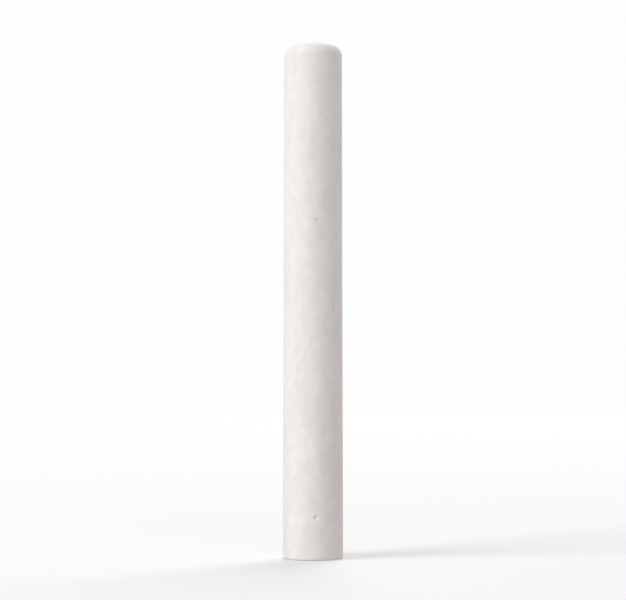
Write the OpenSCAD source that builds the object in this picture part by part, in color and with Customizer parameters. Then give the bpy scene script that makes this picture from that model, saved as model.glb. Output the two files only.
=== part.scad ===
// Stick of blackboard chalk, moulded in one piece and standing on its flat end.
// The wall narrows a little from the flat end up, which is how the stick slides
// out of its mould. At the top a rounded shoulder rolls the wall over into a
// shallow crown. Millimetres, +Z up, origin at the centre of the flat end.

/* [Stick] */
// Length over all, from the flat end to the top of the crown
stick_len = 81; // [40:0.5:130]
// Diameter of the wall at the flat end
butt_dia = 9.5; // [7:0.1:14]
// How much narrower the wall has become, across its diameter, at the height of the crown
draft = 0.4; // [0:0.05:1]

/* [Crowned end] */
// Radius of the shallow crown
crown_radius = 10; // [8:0.25:30]
// Radius of the shoulder between the wall and the crown
shoulder_radius = 1.8; // [0.5:0.1:2.4]

/* [Flat end] */
// Radius that breaks the rim of the flat end
rim_radius = 0.3; // [0.1:0.05:1]

/* [Hidden] */
$fn = 128;
chalk_white = "#eeece8";

// A rounding stands this far proud of a true tangent arc, so that it crosses
// the surfaces on both sides of it cleanly instead of only touching them
proud = 0.001;
// A cutter is this many times as large as the corner that it rounds
overcut = 1.5;

// The outline is worked out in the half plane [distance from the axis, height].
// The wall leans in by the angle lean, which is also how far its outward normal looks up.
butt_r = butt_dia / 2;
lean = atan(draft / 2 / stick_len);

crown_centre = [0, stick_len - crown_radius];

// The shoulder's arc touches the wall and, from inside, the crown. So its centre is
// shoulder_radius in from the wall, and shoulder_reach from the crown's centre in
// the direction lift.
shoulder_reach = crown_radius - shoulder_radius;
lift = lean + acos(depth(crown_centre, shoulder_radius) / shoulder_reach);
shoulder_centre = crown_centre + shoulder_reach * toward(lift);

// The rim's arc touches the flat end and the wall
rim_centre = [depth([0, rim_radius], rim_radius) / cos(lean), rim_radius];

// Unit vector at an angle above the horizontal
function toward(angle) = [cos(angle), sin(angle)];

// Radius of the wall at a height
function wall_r(height) = butt_r - height * tan(lean);

// How far a point on the axis is, square to the wall, from a line that is inset from the wall
function depth(point, inset) = wall_r(point.y) * cos(lean) - inset;

// What lies beyond an arc, in the corner between the directions from and to
module corner_beyond(centre, radius, from, to) {
    side = overcut * radius;
    tip = side / cos((to - from) / 2);
    difference() {
        polygon([
            centre,
            centre + side * toward(from),
            centre + tip * toward((from + to) / 2),
            centre + side * toward(to)
        ]);
        translate(centre) circle(radius + proud);
    }
}

// Everything inside the wall, carried on past the top
module inside_wall() {
    past_top = overcut * stick_len;
    polygon([[0, 0], [butt_r, 0], [wall_r(past_top), past_top], [0, past_top]]);
}

// Everything under the crown, wider than the wall
module under_crown() {
    square([(butt_r + crown_radius) / 2, crown_centre.y]);
    translate(crown_centre) circle(crown_radius);
}

// Half of the stick's lengthwise section, on one side of the axis
module half_section() {
    difference() {
        intersection() {
            inside_wall();
            under_crown();
        }
        corner_beyond(shoulder_centre, shoulder_radius, lean, lift);
        corner_beyond(rim_centre, rim_radius, -90, lean);
    }
}

module chalk_stick() {
    color(chalk_white)
        rotate_extrude() half_section();
}

chalk_stick();
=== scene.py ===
"""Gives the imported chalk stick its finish: the moulded surface, its material and a plain studio.

The stick is one solid of revolution, and so is its dressed surface. A profile of two straight
stretches and three arcs is carried round the axis on a fine grid, and small marks are pressed into
it: a little waviness and draw marks from the mould, air holes, a scraped flat end, and crumbs that
its rim has lost. Sizes of the chalk are in millimetres and go into the meshes in metres.
"""

import functools
import itertools
import logging
import math
from dataclasses import dataclass, field
from enum import Enum

import bpy
import numpy as np
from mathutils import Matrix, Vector


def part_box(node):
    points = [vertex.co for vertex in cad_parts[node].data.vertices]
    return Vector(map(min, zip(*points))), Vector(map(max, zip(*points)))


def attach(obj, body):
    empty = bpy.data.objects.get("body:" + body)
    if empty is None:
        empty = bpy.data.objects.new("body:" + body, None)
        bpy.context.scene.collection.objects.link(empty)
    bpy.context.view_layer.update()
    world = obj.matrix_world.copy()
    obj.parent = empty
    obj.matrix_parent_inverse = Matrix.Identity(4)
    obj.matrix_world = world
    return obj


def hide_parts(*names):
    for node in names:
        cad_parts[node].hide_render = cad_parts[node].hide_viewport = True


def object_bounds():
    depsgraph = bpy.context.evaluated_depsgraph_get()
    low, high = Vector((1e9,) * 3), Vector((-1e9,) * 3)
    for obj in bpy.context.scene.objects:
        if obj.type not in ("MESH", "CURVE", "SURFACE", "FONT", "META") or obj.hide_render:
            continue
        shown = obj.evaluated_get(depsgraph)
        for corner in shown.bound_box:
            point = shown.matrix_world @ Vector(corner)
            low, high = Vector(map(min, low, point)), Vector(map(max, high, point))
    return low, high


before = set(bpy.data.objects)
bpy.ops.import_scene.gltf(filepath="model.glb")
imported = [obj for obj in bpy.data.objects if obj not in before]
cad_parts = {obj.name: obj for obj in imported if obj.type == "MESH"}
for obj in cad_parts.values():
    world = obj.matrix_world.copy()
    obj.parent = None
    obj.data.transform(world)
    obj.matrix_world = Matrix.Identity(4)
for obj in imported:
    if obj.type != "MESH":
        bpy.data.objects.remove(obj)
cad_low, cad_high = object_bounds()

logging.basicConfig(level=logging.INFO, format="%(message)s")
log = logging.getLogger("chalk_stick")

MM = 0.001
FULL_TURN = 2.0 * math.pi
QUARTER_TURN = FULL_TURN / 4.0
NODE = "chalk_stick"
PIECE = "chalk_stick_surface"
BODY = "root"

Colour = tuple[float, float, float]
Size = tuple[float, float, float]
Source = bpy.types.NodeSocket | float | tuple[float, ...]


def toward(angle: np.ndarray | float) -> np.ndarray:
    """Unit vectors in a plane: the cosine and the sine of an angle in radians."""
    return np.stack([np.cos(angle), np.sin(angle)], axis=-1)


def smooth_step(values: np.ndarray, low: float, high: float) -> np.ndarray:
    """Rises smoothly from 0 at low to 1 at high: three times the square less twice the cube.

    Args:
        values: numbers to be eased.
        low: where the rise starts.
        high: where the rise ends. It may lie below low, which turns the rise round.

    Returns:
        An array like values, from 0 to 1.
    """
    share = np.clip((values - low) / (high - low), 0.0, 1.0)
    return share * share * (3.0 - 2.0 * share)


def carried_round(rows: np.ndarray, around: int, first: float = 0.0) -> np.ndarray:
    """Carries rows round the axis: the outward part times the cosine and sine of each angle.

    Args:
        rows: the outward and the upward part, one row for each ring.
        around: how many columns there are round the axis.
        first: angle of the first column in radians.

    Returns:
        The parts along X, Y and Z, ring by ring.
    """
    turn = toward(first + FULL_TURN * np.arange(around) / around)
    flat = rows[:, None, :1] * turn
    up = np.broadcast_to(rows[:, None, 1:], (*flat.shape[:2], 1))
    return np.concatenate([flat, up], axis=2).reshape(-1, 3)


class Zone(Enum):
    """The stretches of the stick's surface, in order from the middle of the flat end to the crown."""

    BUTT = 0
    RIM = 1
    WALL = 2
    SHOULDER = 3
    CROWN = 4


class Trace(Enum):
    """What the material reads from the surface, by the names of the mesh's masks."""

    HOLE = "hole"
    SCRAPED = "scraped"
    CRUMBLED = "crumbled"


@dataclass(frozen=True)
class Line:
    """A straight stretch of the profile. Its points are distances from the axis, and heights."""

    zone: Zone
    start: np.ndarray
    end: np.ndarray

    def length(self) -> float:
        """Its length."""
        return float(np.linalg.norm(self.end - self.start))

    def at(self, share: np.ndarray) -> tuple[np.ndarray, np.ndarray]:
        """Points and outward normals: start plus a share of the way, and the way turned to the right.

        Args:
            share: how far along the stretch each point is, from 0 to 1.

        Returns:
            The points and the unit normals, one row each.
        """
        way = self.end - self.start
        normal = np.array([way[1], -way[0]]) / self.length()
        return self.start + share[:, None] * way, np.tile(normal, (len(share), 1))


@dataclass(frozen=True)
class Arc:
    """A round stretch of the profile, about a centre, from one direction up to another in radians."""

    zone: Zone
    centre: np.ndarray
    radius: float
    first: float
    last: float

    def length(self) -> float:
        """Its length: the radius times the angle."""
        return self.radius * (self.last - self.first)

    def at(self, share: np.ndarray) -> tuple[np.ndarray, np.ndarray]:
        """Points and outward normals: the centre plus the radius in each direction, and the directions.

        Args:
            share: how far along the stretch each point is, from 0 to 1.

        Returns:
            The points and the unit normals, one row each.
        """
        normal = toward(self.first + share * (self.last - self.first))
        return self.centre + self.radius * normal, normal


@dataclass(frozen=True)
class GradientNoise:
    """Seeded gradient noise in space: each corner of a lattice holds a slope, and these are blended."""

    seed: int
    table_size: int = 256
    to_unit: float = 1.6

    def tables(self) -> tuple[np.ndarray, np.ndarray]:
        """Draws what the lattice holds.

        Returns:
            The shuffled corner numbers, and the unit slopes that they choose.
        """
        rng = np.random.default_rng(self.seed)
        order = rng.permutation(self.table_size)
        slopes = rng.normal(size=(self.table_size, 3))
        return order, slopes / np.linalg.norm(slopes, axis=1, keepdims=True)

    def at(self, points: np.ndarray, grain: Size) -> np.ndarray:
        """The noise at each point: slope times offset times weight, summed over the corners round it.

        A corner's weight falls from 1 to 0 along each axis by six times the fifth power of the way
        less fifteen times the fourth plus ten times the third.

        Args:
            points: places in millimetres, one row each.
            grain: size of a bump along X, Y and Z, in millimetres.

        Returns:
            One number for each point, from about -1 to 1.
        """
        order, slopes = self.tables()
        scaled = points / np.array(grain)
        cell = np.floor(scaled).astype(int)
        inside = scaled - cell
        ease = inside**3 * (inside * (6.0 * inside - 15.0) + 10.0)
        total = np.zeros(len(points))
        for corner in itertools.product((0, 1), repeat=3):
            x, y, z = ((cell + corner) % self.table_size).T
            slope = slopes[order[(order[(order[x] + y) % self.table_size] + z) % self.table_size]]
            weight = np.prod(np.where(corner, ease, 1.0 - ease), axis=1)
            total += weight * np.einsum("ij,ij->i", slope, inside - corner)
        return np.clip(total * self.to_unit, -1.0, 1.0)


@dataclass(frozen=True)
class Corners:
    """Places of faces' corners on a ring grid: their rows and columns, one line for each face."""

    rows: np.ndarray
    columns: np.ndarray


@dataclass(frozen=True)
class RingGrid:
    """A grid carried round the axis. Its first row is a pole, then come the rings and the other pole."""

    around: int
    rings: int

    def bands(self) -> Corners:
        """Four-cornered faces between neighbouring rings, which face outwards where the rings rise.

        Returns:
            The corners, band by band.
        """
        rows = np.arange(1, self.rings)[:, None, None] + np.array([0, 0, 1, 1])
        columns = np.arange(self.around)[:, None] + np.array([0, 1, 1, 0])
        rows, columns = np.broadcast_arrays(rows, columns)
        return Corners(rows.reshape(-1, 4), columns.reshape(-1, 4))

    def first_fan(self) -> Corners:
        """Three-cornered faces round the first pole, whose column is halfway across each face."""
        columns = np.arange(self.around)[:, None] + np.array([0.5, 1.0, 0.0])
        return Corners(np.tile([0, 1, 1], (self.around, 1)), columns)

    def last_fan(self) -> Corners:
        """Three-cornered faces round the last pole, whose column is halfway across each face."""
        columns = np.arange(self.around)[:, None] + np.array([0.0, 1.0, 0.5])
        return Corners(self.rings + np.tile([0, 0, 1], (self.around, 1)), columns)

    def vertices(self, corners: Corners) -> np.ndarray:
        """Number of the vertex at each corner, counted ring by ring, with one vertex at each pole."""
        number = 1 + (corners.rows - 1) * self.around + corners.columns.astype(int) % self.around
        return np.clip(number, 0, 1 + self.rings * self.around)


@dataclass(frozen=True)
class Stations:
    """Rows along the profile, from pole to pole: places, normals, zones, and distances along it."""

    places: np.ndarray
    normals: np.ndarray
    zones: np.ndarray
    along: np.ndarray

    def start_of(self, zone: Zone) -> float:
        """Distance along the profile at which a zone starts."""
        return float(self.along[self.zones == zone.value][0])


@dataclass(frozen=True)
class Skin:
    """The ideal surface as whole arrays, one row for each vertex, in millimetres."""

    places: np.ndarray
    normals: np.ndarray
    zones: np.ndarray

    def share_of(self, zone: Zone) -> np.ndarray:
        """1 where a vertex belongs to the zone, and 0 elsewhere."""
        return (self.zones == zone.value).astype(float)

    def out(self) -> np.ndarray:
        """Distance of each vertex from the axis."""
        return np.linalg.norm(self.places[:, :2], axis=1)

    def area_weights(self) -> np.ndarray:
        """Rough area that each vertex stands for: its distance from the axis over the widest one."""
        return self.out() / self.out().max()


@dataclass(frozen=True)
class Mark:
    """One pattern of shallow hollows: its full depth and the size of its bumps, in millimetres."""

    full_depth: float
    grain: Size
    seed: int

    def depth(self, skin: Skin) -> np.ndarray:
        """Depth at each vertex: the full depth times a noise that is lifted to run from 0 to 1."""
        return self.full_depth * (0.5 + 0.5 * GradientNoise(self.seed).at(skin.places, self.grain))


@dataclass(frozen=True)
class AirHoles:
    """Small bubbles of air that lie open in the surface, in millimetres.

    The depth is a share of the radius, and so is the flat middle of a hole. On the flat end, which
    is cut through the bubbles, a hole is end_weight times as likely as on the wall.
    """

    count: int = 32
    typical_radius: float = 0.20
    smallest_radius: float = 0.17
    largest_radius: float = 0.38
    spread: float = 0.35
    depth_share: float = 0.55
    middle_share: float = 0.25
    end_weight: float = 5.0
    seed: int = 23

    def press(self, skin: Skin) -> tuple[np.ndarray, np.ndarray]:
        """How deep in a hole each vertex lies: an eased fall from the middle of it out to its radius.

        Args:
            skin: the ideal surface.

        Returns:
            The share of the depth of the hole round each vertex, from 0 to 1, and the depth there.
        """
        rng = np.random.default_rng(self.seed)
        likely = skin.area_weights() * (1.0 + (self.end_weight - 1.0) * skin.share_of(Zone.BUTT))
        middles = rng.choice(len(likely), self.count, replace=False, p=likely / likely.sum())
        radii = self.typical_radius * np.exp(self.spread * rng.normal(size=self.count))
        radii = np.clip(radii, self.smallest_radius, self.largest_radius)
        share = np.zeros(len(likely))
        depth = np.zeros(len(likely))
        for middle, radius in zip(skin.places[middles], radii, strict=True):
            gap = np.linalg.norm(skin.places - middle, axis=1)
            here = smooth_step(gap, radius, self.middle_share * radius)
            share = np.maximum(share, here)
            depth = np.maximum(depth, here * radius * self.depth_share)
        return share, depth


@dataclass(frozen=True)
class RimCrumbs:
    """Crumbs that the rim of the flat end has lost, where a noise is above its threshold.

    Lengths are in millimetres, and reach is how far from the rim they die away.
    """

    full_depth: float = 0.11
    grain: Size = (0.8, 0.8, 0.8)
    threshold: float = 0.18
    reach: float = 0.75
    seed: int = 13

    def lost(self, skin: Skin) -> np.ndarray:
        """How much the surface has lost: the high parts of the noise, eased out away from the rim.

        Args:
            skin: the ideal surface.

        Returns:
            The share of the full depth lost at each vertex, from 0 to 1.
        """
        rim = skin.share_of(Zone.RIM) > 0.0
        out = skin.out()
        gap = np.hypot(out - out[rim].max(), skin.places[:, 2] - skin.places[rim, 2].min())
        high = smooth_step(GradientNoise(self.seed).at(skin.places, self.grain), self.threshold, 1.0)
        return high * smooth_step(gap, self.reach, 0.0)


@dataclass(frozen=True)
class MouldMarks:
    """What the mould and the scraper leave on the surface, all of it pressed inwards."""

    wave: Mark = Mark(full_depth=0.022, grain=(9.0, 9.0, 22.0), seed=3)
    peel: Mark = Mark(full_depth=0.012, grain=(1.5, 1.5, 1.5), seed=5)
    draw: Mark = Mark(full_depth=0.012, grain=(0.75, 0.75, 26.0), seed=7)
    scrape: Mark = Mark(full_depth=0.035, grain=(9.0, 0.6, 0.6), seed=11)
    crumbs: RimCrumbs = RimCrumbs()
    holes: AirHoles = AirHoles()

    def press(self, skin: Skin) -> tuple[np.ndarray, dict[Trace, np.ndarray]]:
        """Depth of all marks together at each vertex, the draw marks on the wall alone.

        Args:
            skin: the ideal surface.

        Returns:
            The depth in millimetres, and the masks that the material reads, from 0 to 1.
        """
        butt = skin.share_of(Zone.BUTT)
        lost = self.crumbs.lost(skin)
        hole, hole_depth = self.holes.press(skin)
        depth = (
            self.wave.depth(skin) * (1.0 - butt)
            + self.peel.depth(skin)
            + self.draw.depth(skin) * skin.share_of(Zone.WALL)
            + self.scrape.depth(skin) * butt
            + self.crumbs.full_depth * lost
            + hole_depth
        )
        return depth, {Trace.HOLE: hole, Trace.SCRAPED: butt, Trace.CRUMBLED: lost}


@dataclass(frozen=True)
class BakeLayout:
    """Where the surface lies on its bake map: the wall as an upright strip, and each end as a disc.

    The gap and the strip's width are shares of the map's side. The discs are as wide as what the
    strip leaves beside it.
    """

    map_name: str = "OFBake"
    gap: float = 0.01
    strip_width: float = 0.70

    def placed(self, stations: Stations, corners: Corners, around: int) -> np.ndarray:
        """Carries corners to the map: the strip by turn and height, a disc by turn and distance out.

        Args:
            stations: the rows along the profile.
            corners: the faces' corners on the ring grid.
            around: how many columns there are round the axis.

        Returns:
            One row for each corner, from 0 to 1.
        """
        low, high = stations.start_of(Zone.WALL), stations.start_of(Zone.SHOULDER)
        length = stations.along[-1]
        zone = np.broadcast_to(stations.zones[corners.rows[:, :1]], corners.rows.shape)[..., None]
        along = stations.along[corners.rows]
        turn = corners.columns / around
        strip = np.stack(
            [
                self.gap + self.strip_width * turn,
                self.gap + (1.0 - 2.0 * self.gap) * (along - low) / (high - low),
            ],
            axis=-1,
        )
        radius = (1.0 - 3.0 * self.gap - self.strip_width) / 2.0
        edge = self.gap + radius
        lower = zone < Zone.WALL.value
        middle = np.where(lower, [1.0 - edge, edge], [1.0 - edge, 1.0 - edge])
        reach = np.where(lower[..., 0], along, length - along) / max(low, length - high)
        way = toward(FULL_TURN * turn) * np.where(lower, [1.0, -1.0], [1.0, 1.0])
        disc = middle + radius * reach[..., None] * way
        return np.where(zone == Zone.WALL.value, strip, disc).reshape(-1, 2)


@dataclass
class ChalkStick:
    """The moulded stick, in millimetres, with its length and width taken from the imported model.

    The surface has as many columns round the axis as around says, and its rows lie a spacing apart.
    """

    draft: float = 0.4
    crown_radius: float = 10.0
    shoulder_radius: float = 1.8
    rim_radius: float = 0.3
    around: int = 200
    wall_spacing: float = 0.19
    end_spacing: float = 0.17
    arc_spacing: float = 0.11
    first_column: float = QUARTER_TURN
    marks: MouldMarks = MouldMarks()
    layout: BakeLayout = BakeLayout()
    length: float = field(init=False)
    butt_radius: float = field(init=False)

    def __post_init__(self) -> None:
        """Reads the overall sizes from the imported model's box."""
        low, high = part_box(NODE)
        self.length = (high.z - low.z) / MM
        self.butt_radius = (high.x - low.x) / MM / 2.0

    def profile(self) -> list[Line | Arc]:
        """Half of the lengthwise section, from the middle of the flat end up to the top of the crown.

        The wall leans in by the draft. The shoulder's centre lies one shoulder radius in from the wall
        and on the circle about the crown's centre on which the two arcs run into each other.

        Returns:
            The five stretches in order, each starting where the one before it ends.
        """
        lean = math.atan(self.draft / 2.0 / self.length)
        face = self.butt_radius * math.cos(lean)
        crown = np.array([0.0, self.length - self.crown_radius])
        reach = self.crown_radius - self.shoulder_radius
        lift = lean + math.acos((face - self.shoulder_radius - crown[1] * math.sin(lean)) / reach)
        shoulder = crown + reach * toward(lift)
        inset = face - self.rim_radius - self.rim_radius * math.sin(lean)
        rim = np.array([inset / math.cos(lean), self.rim_radius])
        return [
            Line(Zone.BUTT, np.zeros(2), np.array([rim[0], 0.0])),
            Arc(Zone.RIM, rim, self.rim_radius, -QUARTER_TURN, lean),
            Line(
                Zone.WALL,
                rim + self.rim_radius * toward(lean),
                shoulder + self.shoulder_radius * toward(lean),
            ),
            Arc(Zone.SHOULDER, shoulder, self.shoulder_radius, lean, lift),
            Arc(Zone.CROWN, crown, self.crown_radius, lift, QUARTER_TURN),
        ]

    def stations(self) -> Stations:
        """Rows along the profile, evenly spaced on each stretch, with a pole at both ends.

        Returns:
            The rows.
        """
        spacing = {
            Zone.BUTT: self.end_spacing,
            Zone.RIM: self.arc_spacing,
            Zone.WALL: self.wall_spacing,
            Zone.SHOULDER: self.arc_spacing,
            Zone.CROWN: self.end_spacing,
        }
        parts = []
        start = 0.0
        for stretch in self.profile():
            steps = math.ceil(stretch.length() / spacing[stretch.zone])
            rows = steps + 1 if stretch.zone is Zone.CROWN else steps
            share = np.arange(rows) / steps
            along = start + share * stretch.length()
            parts.append((*stretch.at(share), np.full(rows, stretch.zone.value), along))
            start += stretch.length()
        return Stations(*(np.concatenate(part) for part in zip(*parts, strict=True)))

    def skin(self, stations: Stations) -> Skin:
        """The profile carried round the axis, with one vertex at each pole.

        Args:
            stations: the rows along the profile.

        Returns:
            The ideal surface, from the flat end's pole ring by ring to the crown's pole.
        """

        def turned(rows: np.ndarray) -> np.ndarray:
            """Rows carried round, of which the first and the last keep one vertex each."""
            whole = carried_round(rows, self.around, self.first_column)
            return whole[self.around - 1 : 1 - self.around]

        zones = np.repeat(stations.zones, self.around)[self.around - 1 : 1 - self.around]
        return Skin(turned(stations.places), turned(stations.normals), zones)

    def build(self) -> bpy.types.Object:
        """Makes the marked surface, a closed mesh with its masks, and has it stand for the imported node.

        Returns:
            The stick's object, at the origin, in metres.
        """
        stations = self.stations()
        skin = self.skin(stations)
        depth, masks = self.marks.press(skin)
        grid = RingGrid(self.around, len(stations.zones) - 2)
        groups = [grid.bands(), grid.first_fan(), grid.last_fan()]
        places = (skin.places - depth[:, None] * skin.normals) * MM
        mesh = grid_mesh(PIECE, places, [grid.vertices(group) for group in groups])
        bake_map = mesh.uv_layers.new(name=self.layout.map_name)
        on_map = [self.layout.placed(stations, group, self.around) for group in groups]
        bake_map.uv.foreach_set("vector", np.concatenate(on_map).astype(np.float32).ravel())
        for trace, values in masks.items():
            mask = mesh.attributes.new(trace.value, "FLOAT", "POINT")
            mask.data.foreach_set("value", values.astype(np.float32))
        piece = bpy.data.objects.new(PIECE, mesh)
        bpy.context.scene.collection.objects.link(piece)
        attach(piece, BODY)
        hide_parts(NODE)
        return piece


def grid_mesh(name: str, places: np.ndarray, groups: list[np.ndarray]) -> bpy.types.Mesh:
    """Puts whole arrays of vertices and faces into a new smooth mesh.

    Args:
        name: name of the mesh.
        places: vertices in metres, one row each.
        groups: faces as rows of vertex numbers, each group with one number of corners to a face.

    Returns:
        The mesh.
    """
    mesh = bpy.data.meshes.new(name)
    mesh.vertices.add(len(places))
    mesh.vertices.foreach_set("co", places.astype(np.float32).ravel())
    corners = np.concatenate([group.ravel() for group in groups]).astype(np.int32)
    sizes = np.concatenate([np.full(len(group), group.shape[1]) for group in groups])
    starts = np.concatenate([[0], np.cumsum(sizes)[:-1]]).astype(np.int32)
    mesh.loops.add(len(corners))
    mesh.loops.foreach_set("vertex_index", corners)
    mesh.polygons.add(len(sizes))
    mesh.polygons.foreach_set("loop_start", starts)
    mesh.polygons.foreach_set("use_smooth", np.ones(len(sizes), bool))
    mesh.update(calc_edges=True)
    mesh.validate()
    return mesh


@dataclass(frozen=True)
class Grain:
    """A layer of noise in a material: the size of its bumps, in millimetres, and its finer layers."""

    size: Size
    octaves: float
    roughness: float = 0.5


@dataclass(frozen=True)
class Dots:
    """Small round dots with soft edges, one in a share of the cells of a broken lattice.

    The cell and the radius are in millimetres, and the middle is the flat part of the radius.
    """

    cell: float
    radius: float
    share: float
    middle_share: float = 0.4


class Join(Enum):
    """How two values are put together, with what a math node calls it."""

    SUM = "ADD"
    PRODUCT = "MULTIPLY"
    LARGER = "MAXIMUM"
    IS_BELOW = "LESS_THAN"


class Wiring:
    """Adds nodes to one material, in millimetres of the object's own space, and links them."""

    def __init__(self, material: bpy.types.Material) -> None:
        """Empties the material's tree and reads the object's own coordinates.

        Args:
            material: the material to be wired.
        """
        material.use_nodes = True
        self.tree = material.node_tree
        self.tree.nodes.clear()
        self.own_space = self.add("ShaderNodeTexCoord").outputs["Object"]

    def add(self, kind: str, **settings: str | bool) -> bpy.types.Node:
        """Adds a node.

        Args:
            kind: the node's type.
            **settings: its properties by name.

        Returns:
            The node.
        """
        node = self.tree.nodes.new(kind)
        for name, value in settings.items():
            setattr(node, name, value)
        return node

    def feed(self, socket: bpy.types.NodeSocket, value: Source) -> None:
        """Links an output to a socket, or sets a plain value on it.

        Args:
            socket: the input to be fed.
            value: an output, or a number, vector or colour.
        """
        if isinstance(value, bpy.types.NodeSocket):
            self.tree.links.new(value, socket)
        else:
            socket.default_value = value

    def scaled(self, size: Size) -> bpy.types.NodeSocket:
        """The object's coordinates over a size, so that a bump of that size is one unit.

        Args:
            size: the size along X, Y and Z, in millimetres.

        Returns:
            The scaled coordinates.
        """
        mapping = self.add("ShaderNodeMapping", vector_type="POINT")
        self.feed(mapping.inputs["Vector"], self.own_space)
        self.feed(mapping.inputs["Scale"], tuple(1.0 / (side * MM) for side in size))
        return mapping.outputs["Vector"]

    def noise(self, grain: Grain) -> bpy.types.NodeSocket:
        """A layer of noise.

        Args:
            grain: its size and its finer layers.

        Returns:
            A value from 0 to 1.
        """
        node = self.add("ShaderNodeTexNoise")
        self.feed(node.inputs["Vector"], self.scaled(grain.size))
        self.feed(node.inputs["Scale"], 1.0)
        self.feed(node.inputs["Detail"], grain.octaves)
        self.feed(node.inputs["Roughness"], grain.roughness)
        return node.outputs["Fac"]

    def scatter(self, dots: Dots) -> bpy.types.NodeSocket:
        """Dots scattered over the surface.

        Args:
            dots: their size, and how many there are.

        Returns:
            A value that is 1 in the middle of a dot and 0 outside.
        """
        node = self.add("ShaderNodeTexVoronoi")
        self.feed(node.inputs["Vector"], self.scaled((dots.cell, dots.cell, dots.cell)))
        self.feed(node.inputs["Scale"], 1.0)
        edge = dots.radius / dots.cell
        dot = self.remap(node.outputs["Distance"], edge, dots.middle_share * edge, 0.0, 1.0)
        split = self.add("ShaderNodeSeparateColor")
        self.feed(split.inputs["Color"], node.outputs["Color"])
        chosen = self.compute(Join.IS_BELOW, split.outputs["Red"], dots.share)
        return self.compute(Join.PRODUCT, dot, chosen)

    def mask(self, trace: Trace) -> bpy.types.NodeSocket:
        """One of the surface's own masks."""
        return self.add("ShaderNodeAttribute", attribute_name=trace.value).outputs["Fac"]

    def remap(
        self, value: Source, low: float, high: float, to_low: float, to_high: float
    ) -> bpy.types.NodeSocket:
        """A value carried from one range to another in a straight line, and held at its ends.

        Args:
            value: the output to carry over.
            low: the value that gives to_low.
            high: the value that gives to_high.
            to_low: result at low.
            to_high: result at high.

        Returns:
            The result's output.
        """
        node = self.add("ShaderNodeMapRange", clamp=True)
        self.feed(node.inputs["Value"], value)
        self.feed(node.inputs["From Min"], low)
        self.feed(node.inputs["From Max"], high)
        self.feed(node.inputs["To Min"], to_low)
        self.feed(node.inputs["To Max"], to_high)
        return node.outputs["Result"]

    def compute(self, join: Join, first: Source, second: Source) -> bpy.types.NodeSocket:
        """Two values put together.

        Args:
            join: how they are put together.
            first: an output or a number.
            second: another.

        Returns:
            The result's output.
        """
        node = self.add("ShaderNodeMath", operation=join.value)
        self.feed(node.inputs[0], first)
        self.feed(node.inputs[1], second)
        return node.outputs["Value"]

    def total(self, *parts: tuple[Source, float]) -> bpy.types.NodeSocket:
        """The sum of several values, each times its own weight.

        Args:
            *parts: each value with its weight.

        Returns:
            The sum's output.
        """
        weighed = [self.compute(Join.PRODUCT, value, weight) for value, weight in parts]
        return functools.reduce(functools.partial(self.compute, Join.SUM), weighed)

    def blend(self, share: Source, first: Source, second: Source) -> bpy.types.NodeSocket:
        """Mixes two colours.

        Args:
            share: how much of the second colour there is, from 0 to 1.
            first: an output or a colour.
            second: another.

        Returns:
            The mixture's output.
        """
        node = self.add("ShaderNodeMix", data_type="RGBA")
        self.feed(node.inputs["Factor"], share)
        for name, colour in (("A", first), ("B", second)):
            socket = next(s for s in node.inputs if s.name == name and s.type == "RGBA")
            self.feed(socket, (*colour, 1.0) if isinstance(colour, tuple) else colour)
        return next(s for s in node.outputs if s.type == "RGBA")

    def finish(self, surface: bpy.types.NodeSocket) -> None:
        """Gives a shader's output to the material."""
        output = self.add("ShaderNodeOutputMaterial")
        self.feed(output.inputs["Surface"], surface)


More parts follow.
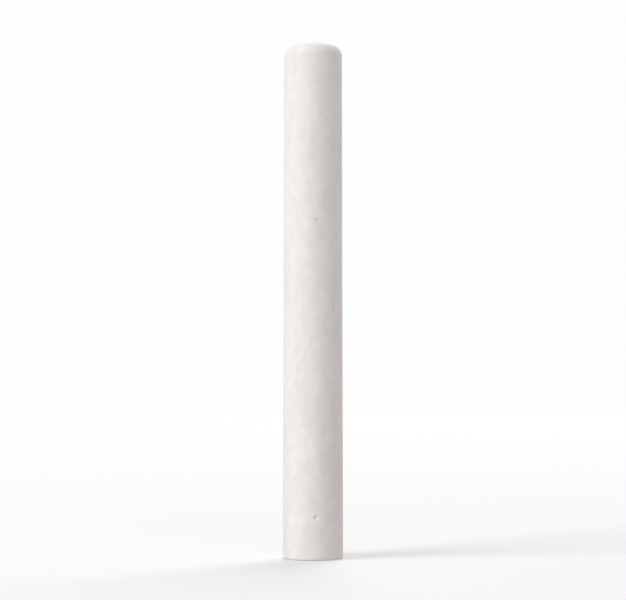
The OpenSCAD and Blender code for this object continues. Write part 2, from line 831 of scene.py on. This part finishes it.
@dataclass(frozen=True)
class ChalkFinish:
    """Dry moulded chalk: nearly white, matte, and mixed from a few fine patterns.

    The tone runs from dull to bright. The shares say how much of a pattern goes into the tone, into the
    painted shade that darkens air holes and pricks, or into the relief, whose unit is relief_height in
    metres.
    """

    bright: Colour = (0.910, 0.893, 0.878)
    dull: Colour = (0.785, 0.767, 0.749)
    speck: Colour = (0.64, 0.62, 0.59)
    # painted shade: the colour that air holes and pricks are darkened towards, standing in for the shade
    # inside them
    painted_hole_shade: Colour = (0.58, 0.555, 0.53)

    patch: Grain = Grain(size=(3.5, 3.5, 9.0), octaves=2.0)
    mottle: Grain = Grain(size=(1.25, 1.25, 2.0), octaves=3.0, roughness=0.57)
    streak: Grain = Grain(size=(0.5, 0.5, 11.0), octaves=1.0)
    powder: Grain = Grain(size=(0.16, 0.16, 0.16), octaves=2.0, roughness=0.6)
    scratch: Grain = Grain(size=(7.0, 0.22, 0.22), octaves=2.0)
    specks: Dots = Dots(cell=1.3, radius=0.13, share=0.22)
    pricks: Dots = Dots(cell=1.9, radius=0.12, share=0.35)

    patch_in_tone: float = 0.55
    mottle_in_tone: float = 0.95
    streak_in_tone: float = 0.25
    powder_in_tone: float = 0.25
    dullest_mix: float = 0.72
    brightest_mix: float = 1.28
    least_tone: float = 0.10
    speck_in_colour: float = 0.55
    hole_in_shade: float = 0.45
    prick_in_shade: float = 0.35

    least_roughness: float = 0.70
    most_roughness: float = 0.88
    smooth_mottle: float = 0.3
    rough_mottle: float = 0.7
    broken_roughness: float = 0.06

    powder_in_relief: float = 0.35
    mottle_in_relief: float = 0.4
    streak_in_relief: float = 0.15
    prick_in_relief: float = -1.0
    scratch_in_relief: float = 1.2
    relief_height: float = 0.00004

    specular: float = 0.35

    def material(self) -> bpy.types.Material:
        """Builds the material: colour, roughness and relief from the same few patterns.

        Returns:
            The material.
        """
        made = bpy.data.materials.new("moulded_chalk")
        wires = Wiring(made)
        patch, mottle, streak, powder, scratch = (
            wires.noise(grain)
            for grain in (self.patch, self.mottle, self.streak, self.powder, self.scratch)
        )
        specks, pricks = wires.scatter(self.specks), wires.scatter(self.pricks)
        hole, scraped, crumbled = (wires.mask(trace) for trace in Trace)

        mixed = wires.total(
            (patch, self.patch_in_tone),
            (mottle, self.mottle_in_tone),
            (streak, self.streak_in_tone),
            (powder, self.powder_in_tone),
        )
        tone = wires.remap(mixed, self.dullest_mix, self.brightest_mix, self.least_tone, 1.0)
        clean = wires.blend(wires.compute(Join.LARGER, tone, crumbled), self.dull, self.bright)
        specked = wires.blend(
            wires.compute(Join.PRODUCT, specks, self.speck_in_colour), clean, self.speck
        )
        # painted shade: air holes and pricks are darkened towards this colour, on top of the shading
        # their dents get from the relief
        shade = wires.compute(
            Join.LARGER,
            wires.compute(Join.PRODUCT, hole, self.hole_in_shade),
            wires.compute(Join.PRODUCT, pricks, self.prick_in_shade),
        )
        colour = wires.blend(shade, specked, self.painted_hole_shade)

        skin_roughness = wires.remap(
            mottle, self.smooth_mottle, self.rough_mottle, self.least_roughness, self.most_roughness
        )
        roughness = wires.total(
            (skin_roughness, 1.0),
            (scraped, self.broken_roughness),
            (crumbled, self.broken_roughness),
        )

        relief = wires.total(
            (powder, self.powder_in_relief),
            (mottle, self.mottle_in_relief),
            (streak, self.streak_in_relief),
            (pricks, self.prick_in_relief),
            (wires.compute(Join.PRODUCT, scratch, scraped), self.scratch_in_relief),
        )
        bump = wires.add("ShaderNodeBump")
        wires.feed(bump.inputs["Strength"], 1.0)
        wires.feed(bump.inputs["Distance"], self.relief_height)
        wires.feed(bump.inputs["Height"], relief)

        shader = wires.add("ShaderNodeBsdfPrincipled")
        wires.feed(shader.inputs["Base Color"], colour)
        wires.feed(shader.inputs["Roughness"], roughness)
        wires.feed(shader.inputs["Normal"], bump.outputs["Normal"])
        wires.feed(shader.inputs["Specular IOR Level"], self.specular)
        wires.finish(shader.outputs["BSDF"])
        return made

    def dress(self, piece: bpy.types.Object) -> None:
        """Gives the piece this finish."""
        piece.data.materials.append(self.material())


def aim(azimuth: float, elevation: float) -> Vector:
    """Unit vector towards an azimuth and an elevation in degrees, azimuth 0 being the camera's side."""
    side, up = math.radians(azimuth), math.radians(elevation)
    return Vector((math.sin(side) * math.cos(up), -math.cos(side) * math.cos(up), math.sin(up)))


def place_facing(thing: bpy.types.Object, place: Vector, target: Vector) -> None:
    """Puts a lamp or a camera in its place, turned to its target, and adds it to the scene.

    Args:
        thing: the lamp or camera.
        place: where it goes.
        target: what it is turned to.
    """
    thing.location = place
    thing.rotation_euler = (target - place).to_track_quat("-Z", "Y").to_euler()
    bpy.context.scene.collection.objects.link(thing)


@dataclass(frozen=True)
class Lamp:
    """A soft square lamp, with angles in degrees and lengths in metres.

    Its tone is how bright it makes a white surface that faces it.
    """

    name: str
    azimuth: float
    elevation: float
    size: float
    tone: float
    colour: Colour = (1.0, 1.0, 1.0)
    distance: float = 1.2

    def hang(self, target: Vector) -> None:
        """Makes the lamp. Its power is the tone times the square of pi times the distance.

        Args:
            target: what the lamp is turned to.
        """
        data = bpy.data.lights.new(self.name, "AREA")
        data.size = self.size
        data.color = self.colour
        data.energy = (math.pi * self.distance) ** 2 * self.tone
        place = target + self.distance * aim(self.azimuth, self.elevation)
        place_facing(bpy.data.objects.new(self.name, data), place, target)


@dataclass(frozen=True)
class Studio:
    """A pale floor that sweeps up all round into a pale wall, soft lamps, and the camera, in metres."""

    camera_distance: float = 0.39
    near_clip: float = 0.01
    fills_height: float = 0.86
    picture_width: int = 626
    picture_height: int = 600
    sensor: float = 36.0
    floor_rings: tuple[float, ...] = (0.02, 0.1, 0.4)
    floor_radius: float = 1.2
    sweep_radius: float = 0.6
    sweep_steps: int = 24
    wall_height: float = 2.2
    around: int = 96
    floor_colour: Colour = (0.92, 0.925, 0.93)
    wall_colour: Colour = (0.988, 0.988, 0.988)
    fade_from: float = 0.05
    fade_to: float = 0.55
    ambient: Colour = (0.49, 0.465, 0.45)
    lamps: tuple[Lamp, ...] = (
        Lamp("key_lamp", azimuth=-64, elevation=28, size=0.7, tone=0.59, colour=(0.92, 0.955, 1.0)),
        Lamp("fill_lamp", azimuth=0, elevation=12, size=1.2, tone=0.23),
        Lamp("back_lamp", azimuth=160, elevation=38, size=0.9, tone=0.52),
    )

    def sweep(self) -> bpy.types.Object:
        """The floor and wall: a flat disc, a quarter circle and an upright, carried round the axis.

        Returns:
            The stage object, which faces up and inwards.
        """
        bend = np.linspace(-QUARTER_TURN, 0.0, self.sweep_steps)
        centre = np.array([self.floor_radius, self.sweep_radius])
        curve = centre + self.sweep_radius * toward(bend)
        inner = np.array([[ring, 0.0] for ring in self.floor_rings])
        top = np.array([[curve[-1, 0], self.wall_height]])
        rows = np.concatenate([inner, curve, top])
        places = np.concatenate([np.zeros((1, 3)), carried_round(rows, self.around)])
        grid = RingGrid(self.around, len(rows))
        groups = [grid.vertices(group)[:, ::-1] for group in (grid.bands(), grid.first_fan())]
        mesh = grid_mesh("studio_floor", places, groups)
        mesh.materials.append(self.paper())
        stage = bpy.data.objects.new(mesh.name, mesh)
        # The room's even light stands in for what the floor would throw back on the stick
        stage.visible_diffuse = False
        bpy.context.scene.collection.objects.link(stage)
        return stage

    def paper(self) -> bpy.types.Material:
        """Pale matte paper near the stick, which fades into an even pale glow further out.

        Returns:
            The material.
        """
        made = bpy.data.materials.new("studio_paper")
        wires = Wiring(made)
        length = wires.add("ShaderNodeVectorMath", operation="LENGTH")
        wires.feed(length.inputs[0], wires.own_space)
        away = wires.remap(length.outputs["Value"], self.fade_from, self.fade_to, 0.0, 1.0)
        paper = wires.add("ShaderNodeBsdfDiffuse")
        wires.feed(paper.inputs["Color"], (*self.floor_colour, 1.0))
        glow = wires.add("ShaderNodeEmission")
        wires.feed(glow.inputs["Color"], (*self.wall_colour, 1.0))
        mixed = wires.add("ShaderNodeMixShader")
        wires.feed(mixed.inputs["Fac"], away)
        wires.feed(mixed.inputs[1], paper.outputs["BSDF"])
        wires.feed(mixed.inputs[2], glow.outputs["Emission"])
        wires.finish(mixed.outputs["Shader"])
        return made

    def light(self, target: Vector) -> None:
        """Hangs the lamps and sets the even light of the room.

        Args:
            target: what the lamps are turned to.
        """
        for lamp in self.lamps:
            lamp.hang(target)
        world = bpy.data.worlds.new("studio_room")
        world.use_nodes = True
        world.node_tree.nodes["Background"].inputs["Color"].default_value = (*self.ambient, 1.0)
        bpy.context.scene.world = world
        bpy.context.scene.view_settings.view_transform = "Standard"

    def camera(self, target: Vector, height: float) -> bpy.types.Object:
        """A level camera in front, with a lens that lets the stick fill its share of the height.

        Args:
            target: what the camera looks at.
            height: the stick's height.

        Returns:
            The camera object.
        """
        data = bpy.data.cameras.new("camera")
        data.sensor_width = self.sensor
        shown_width = height / self.fills_height * self.picture_width / self.picture_height
        data.lens = self.sensor * self.camera_distance / shown_width
        data.clip_start = self.near_clip
        made = bpy.data.objects.new(data.name, data)
        place_facing(made, target + self.camera_distance * aim(0.0, 0.0), target)
        bpy.context.scene.camera = made
        return made


def main() -> None:
    """Builds the studio and the stick, and reports each."""
    middle = (cad_low + cad_high) / 2.0
    studio = Studio()
    studio.sweep()
    studio.light(middle)
    studio.camera(middle, cad_high.z - cad_low.z)
    log.info("studio: floor, %d lamps and the camera", len(studio.lamps))
    stick = ChalkStick()
    piece = stick.build()
    ChalkFinish().dress(piece)
    log.info(
        "%s: %d faces, %.1f mm long and %.1f mm across",
        piece.name,
        len(piece.data.polygons),
        stick.length,
        2.0 * stick.butt_radius,
    )


if __name__ == "__main__":
    main()
